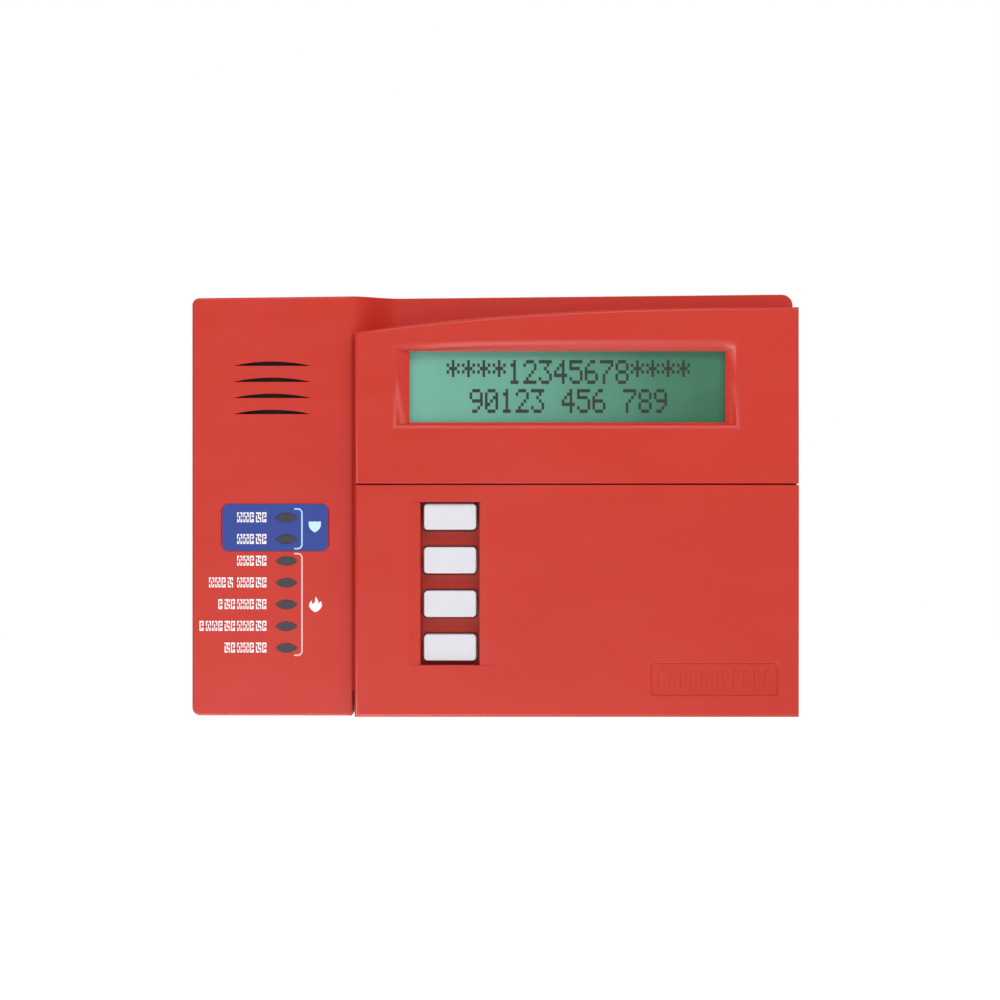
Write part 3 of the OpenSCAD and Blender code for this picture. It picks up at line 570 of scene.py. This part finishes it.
# How many letters the words beside each light have
WORDS = ((5,), (5,), (5,), (4, 5), (8,), (11,), (7,))
WORD_H = 3.1 * MM
WORD_RISE = 0.1 * MM
LETTER_PITCH = 1.95 * MM
LETTER_W = 1.62 * MM
WORD_SPACE = 0.95 * MM
WORD_END_X = LENS_LOW.x - 2.2 * MM
# Blocks that stand for letters, like the dummy words of a page plan: no block is a letter
BLOCK_COLUMNS = 5
BLOCK_ROWS = 6
BLOCKS = ("####. #..#. #.##. #.... #.##. ####.", "#.### #...# ###.# ..#.# #.#.# ###.#",
          ".##.# #..## #...# ##..# .#.## .###.", "##.## #...# #.#.# ..#.. #.#.# ##.##",
          "##### ..#.# #.#.. #.### #...# ###.#")


def cells(bm, rows, x, z, cell_w, cell_h, front, back):
    """Tiles where the rows of a small picture hold a #, in runs along each row. z is the top."""
    for r, row in enumerate(rows):
        c = 0
        while c < len(row):
            run = 0
            while c + run < len(row) and row[c + run] == "#":
                run += 1
            if run:
                tile(bm, x + c * cell_w, z - (r + 1) * cell_h, run * cell_w, cell_h, front, back)
            c += max(run, 1)


def draw_words(first, last):
    """The words beside the lights from first to before last, each line ending beside its light."""
    def draw(bm, front, back):
        for line in range(first, last):
            top = light_z(line) + WORD_H / 2 + WORD_RISE
            letters = " ".join("x" * length for length in WORDS[line])
            x = WORD_END_X
            for n, letter in enumerate(reversed(letters)):
                if letter == " ":
                    x -= WORD_SPACE
                    continue
                x -= LETTER_PITCH
                block = BLOCKS[(3 * n + 5 * line + n * n) % len(BLOCKS)].split()
                cells(bm, block, x, top, LETTER_W / BLOCK_COLUMNS, WORD_H / BLOCK_ROWS, front, back)
    return draw


def draw_bracket(top, low):
    """A thin bracket round the ends of the lights from top to low, open towards them."""
    tip = LENS_HIGH.x - 0.9 * MM
    spine = LENS_HIGH.x + 1.5 * MM
    half = 0.22 * MM
    corner = 1.3 * MM

    def side(offset):
        bend = corner + offset
        upper = arc(spine - corner, top - corner, bend, 90, 0)
        lower = arc(spine - corner, low + corner, bend, 0, -90)
        return [(tip, top + offset)] + upper + lower + [(tip, low - offset)]

    def draw(bm, front, back):
        outer = side(half)
        inner = side(-half)
        for i in range(len(outer) - 1):
            prism(bm, [outer[i], outer[i + 1], inner[i + 1], inner[i]], front, back)
    return draw


ICON_X = LENS_HIGH.x + 5.5 * MM


def draw_shield(bm, front, back):
    """A shield with a pointed foot and a crest of three points."""
    half_w = 1.9 * MM
    height = 3.5 * MM
    top = (light_z(0) + light_z(1)) / 2 + 0.5 * MM + height / 2
    side = [(half_w * (1 - t ** 2.9), top - height * (0.16 + 0.84 * t)) for t in (i / 8 for i in range(9))]
    crest = [(0.0, top - 0.02 * height), (0.5 * half_w, top - 0.05 * height), (0.96 * half_w, top)]
    right = crest + side
    left = [(-x, z) for x, z in reversed(right[1:-1])]
    prism(bm, [(ICON_X + x, z) for x, z in right + left], front, back)


# The flame's outline, from -1 to 1 both ways
FLAME = ((0.0, -1.0), (-0.72, -0.62), (-1.0, -0.08), (-0.62, 0.5), (-0.5, 0.12), (-0.12, 0.3), (0.02, 1.0),
         (0.42, 0.42), (0.5, 0.05), (0.78, 0.42), (1.0, -0.1), (0.7, -0.62))


def draw_flame(bm, front, back):
    centre = light_z(4)
    half_w = 2.0 * MM
    half_h = 2.35 * MM
    middle = ICON_X + 0.2 * MM
    prism(bm, [(middle + x * half_w, centre + z * half_h) for x, z in smooth_loop(FLAME)], front, back)


def build_panel_print():
    """The words, brackets and signs on the blue label and below it on the red panel."""
    front = PANEL_Y - PRINT_T
    back = PANEL_Y + SINK
    label_bracket = draw_bracket(light_z(0) + 2.7 * MM, light_z(LABEL_LIGHTS - 1) - 2.9 * MM)
    panel_bracket = draw_bracket(light_z(LABEL_LIGHTS) + 2.3 * MM, light_z(LIGHTS - 1) - 2.3 * MM)
    label_marks = (("label_words", draw_words(0, LABEL_LIGHTS), WHITE_INK),
                   ("label_bracket", label_bracket, PALE_BLUE_INK),
                   ("label_shield", draw_shield, CYAN_INK))
    panel_marks = (("panel_words", draw_words(LABEL_LIGHTS, LIGHTS), WHITE_INK),
                   ("panel_bracket", panel_bracket, PINK_INK),
                   ("panel_flame", draw_flame, WHITE_INK))
    for name, draw, material in label_marks + panel_marks:
        printed(name, draw, material, "case", front, back)


# Each character of the display: seven rows of five cells
CHARACTER_ROWS = 7
CHARACTERS = {
    "0": ".###. #...# #..## #.#.# ##..# #...# .###.",
    "1": "..#.. .##.. ..#.. ..#.. ..#.. ..#.. .###.",
    "2": ".###. #...# ....# ...#. ..#.. .#... #####",
    "3": "##### ...#. ..#.. ...#. ....# #...# .###.",
    "4": "...#. ..##. .#.#. #..#. ##### ...#. ...#.",
    "5": "##### #.... ####. ....# ....# #...# .###.",
    "6": "..##. .#... #.... ####. #...# #...# .###.",
    "7": "##### ....# ...#. ..#.. .#... .#... .#...",
    "8": ".###. #...# #...# .###. #...# #...# .###.",
    "9": ".###. #...# #...# .#### ....# ...#. .##..",
    "*": "..#.. #.#.# .###. #.#.# ..#.. ..... .....",
}
DISPLAY_LINES = ("****12345678****", "90123 456 789")
CHARACTER_PITCH = 4.77 * MM
CHARACTER_INSET = 0.3 * MM
CHARACTER_T = 0.05 * MM
CELL_W = 0.82 * MM
CELL_H = 1.06 * MM
LINE_PITCH = 9.0 * MM


def draw_characters(bm, front, back):
    """The display's lines of text, each centred."""
    centre_x = (WINDOW_LOW.x + WINDOW_HIGH.x) / 2 + 0.4 * MM
    centre_z = (WINDOW_LOW.z + WINDOW_HIGH.z) / 2 + 0.25 * MM
    for line, text in enumerate(DISPLAY_LINES):
        left = centre_x - CHARACTER_PITCH * len(text) / 2
        top = centre_z + LINE_PITCH * (0.5 - line) + CHARACTER_ROWS / 2 * CELL_H
        for n, character in enumerate(text):
            if character == " ":
                continue
            x = left + n * CHARACTER_PITCH + CHARACTER_INSET
            cells(bm, CHARACTERS[character].split(), x, top, CELL_W, CELL_H, front, back)


def build_display_print():
    """The characters, on the front of the liquid crystal glass."""
    front = GLASS_LOW.y - CHARACTER_T
    printed("lcd_characters", draw_characters, LCD_INK, "case", front, GLASS_LOW.y + SINK)


SIGN_SIZE = 5.2 * MM
KEY_SIGNS = {"star_key": "*", "hash_key": "#", **{f"number_key_{n}": str(n) for n in range(10)}}


def build_key_signs():
    """A printed number or sign on each number key."""
    for node, sign in KEY_SIGNS.items():
        low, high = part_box(node)
        curve = bpy.data.curves.new(f"{node}_sign", "FONT")
        curve.body = sign
        curve.size = SIGN_SIZE
        curve.align_x = "CENTER"
        curve.align_y = "CENTER"
        curve.extrude = PRINT_T / 2
        curve.resolution_u = 4
        holder = bpy.data.objects.new("holder", curve)
        bpy.context.scene.collection.objects.link(holder)
        bpy.context.view_layer.update()
        mesh = bpy.data.meshes.new_from_object(holder)
        bpy.data.objects.remove(holder)
        for vertex in mesh.vertices:
            x, z, y = vertex.co
            vertex.co = (x + (low.x + high.x) / 2, low.y - y, z + (low.z + high.z) / 2)
        mesh.flip_normals()
        add_piece(f"{node}_sign", mesh, DARK_INK, BODY_OF[node])


CARD_LINES = 8
CARD_MARGIN = 4 * MM
CARD_LINE_H = 0.2 * MM


def build_card_lines():
    """Ruled lines on the card inside the door."""
    low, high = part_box("door_card")
    width = high.x - low.x - 2 * CARD_MARGIN

    def draw(bm, front, back):
        for i in range(1, CARD_LINES + 1):
            z = low.z + (high.z - low.z) * i / (CARD_LINES + 1)
            tile(bm, low.x + CARD_MARGIN, z, width, CARD_LINE_H, front, back)
    printed("door_card_lines", draw, DARK_INK, "door", high.y - SINK, high.y + PRINT_T)


# The bars on the rating label, and how much of the width each takes, from the top down
BAR_SHARES = (0.55, 0.9, 0.8, 0.9, 0.65, 0.85)
BAR_MARGIN = 3 * MM
BAR_TOP = 4.4 * MM
BAR_PITCH = 3.6 * MM
TITLE_BAR_H = 1.4 * MM
BAR_H = 0.9 * MM


def build_rating_label():
    """The rating label: a sheet with dark bars on it in place of words."""
    low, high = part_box("rating_label")

    def draw_sheet(bm, front, back):
        tile(bm, low.x, low.z, high.x - low.x, high.z - low.z, front, back)

    def draw_bars(bm, front, back):
        for i, share in enumerate(BAR_SHARES):
            z = high.z - BAR_TOP - i * BAR_PITCH
            width = (high.x - low.x - 2 * BAR_MARGIN) * share
            height = TITLE_BAR_H if i == 0 else BAR_H
            tile(bm, high.x - BAR_MARGIN - width, z, width, height, front, back)

    slot = SLOT_OF["rating_label"]
    sheet = printed("rating_label_sheet", draw_sheet, MATERIALS[slot], "case", low.y, high.y - PRINT_T)
    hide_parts("rating_label")
    printed("rating_label_bars", draw_bars, DARK_INK, "case", high.y - PRINT_T - SINK, high.y)


# ---------------------------------------------------------------- stage

ROOM_LIGHT = 0.4
# The soft lights: name, place, the point it is turned to, width, height and power in watts
SOFT_LIGHTS = (
    ("top_light", (0.15, -0.8, 0.75), (0, 0, 0.03), 1.2, 0.5, 8.6),
    ("veil_light", (-0.5, -0.95, -0.4), (-0.05, 0, -0.03), 0.6, 0.5, 0.5),
    ("under_light", (0.02, -0.1, -0.36), (-0.02, -0.03, -0.06), 0.3, 0.16, 0.3),
    ("back_light", (-0.4, 0.9, 0.5), (0, 0, 0), 0.8, 0.6, 5.0),
)
# A light that is seen only as a gleam on the glossy surfaces
GLEAM_LIGHT = ("gleam_light", (-0.16, -0.36, -0.38), (0, 0, 0.048), 0.34, 0.26, 3.2)
# The camera looks straight along +Y
CAMERA_LENS = 80.5
CAMERA_X = 1.7 * MM
CAMERA_Z = 1.11 * MM
CAMERA_DISTANCE = 0.69
FLOOR_Z = -0.42
FLOOR_SIZE = 6.0
# The floor turns from grey to the white of the room between these distances from the object
FLOOR_NEAR = 0.55
FLOOR_FAR = 1.2


def soft_light(name, place, target, width, height, power):
    data = bpy.data.lights.new(name, "AREA")
    data.shape = "RECTANGLE"
    data.size, data.size_y = width, height
    data.energy = power
    light = bpy.data.objects.new(name, data)
    light.location = place
    light.rotation_euler = (Vector(target) - Vector(place)).to_track_quat("-Z", "Y").to_euler()
    light.visible_camera = False
    bpy.context.scene.collection.objects.link(light)
    return light


def build_room():
    """An even white room, which the camera sees brighter than it shines."""
    world = bpy.data.worlds.new("studio")
    bpy.context.scene.world = world
    world.use_nodes = True
    tree = world.node_tree
    background = tree.nodes["Background"]
    background.inputs["Color"].default_value = (1, 1, 1, 1)
    seen = tree.nodes.new("ShaderNodeLightPath").outputs["Is Camera Ray"]
    strength = tree.nodes.new("ShaderNodeMapRange")
    strength.inputs["To Min"].default_value = ROOM_LIGHT
    strength.inputs["To Max"].default_value = 1.0
    tree.links.new(seen, strength.inputs["Value"])
    tree.links.new(strength.outputs["Result"], background.inputs["Strength"])


def build_floor():
    mesh = bpy.data.meshes.new("floor")
    signs = ((-1, -1), (1, -1), (1, 1), (-1, 1))
    mesh.from_pydata([(FLOOR_SIZE * x, FLOOR_SIZE * y, FLOOR_Z) for x, y in signs], [], [(0, 1, 2, 3)])
    g = Graph("floor_paper")
    away = g.add("ShaderNodeVectorMath", {"operation": "LENGTH"}, Vector=g.place).outputs["Value"]
    g.set(Base_Color=(0.9, 0.9, 0.9, 1), Roughness=0.9, Emission_Color=(1, 1, 1, 1))
    g.set(Emission_Strength=g.span(away, FLOOR_NEAR, FLOOR_FAR, 0.05, 0.7))
    mesh.materials.append(g.material)
    floor = bpy.data.objects.new("floor", mesh)
    bpy.context.scene.collection.objects.link(floor)


def build_stage():
    bpy.context.scene.view_settings.view_transform = "Standard"
    build_room()
    build_floor()
    for row in SOFT_LIGHTS:
        soft_light(*row)
    soft_light(*GLEAM_LIGHT).visible_diffuse = False


def build_camera():
    data = bpy.data.cameras.new("camera")
    data.lens = CAMERA_LENS
    camera = bpy.data.objects.new("camera", data)
    camera.location = (CAMERA_X, FRONT_Y - CAMERA_DISTANCE, CAMERA_Z)
    camera.rotation_euler = (math.radians(90), 0, 0)
    data.clip_start = 0.01
    data.clip_end = 50
    bpy.context.scene.collection.objects.link(camera)
    bpy.context.scene.camera = camera


build_camera()
paint_nodes()
build_shells()
build_keys()
build_panel_print()
build_display_print()
build_key_signs()
build_card_lines()
build_rating_label()
build_stage()
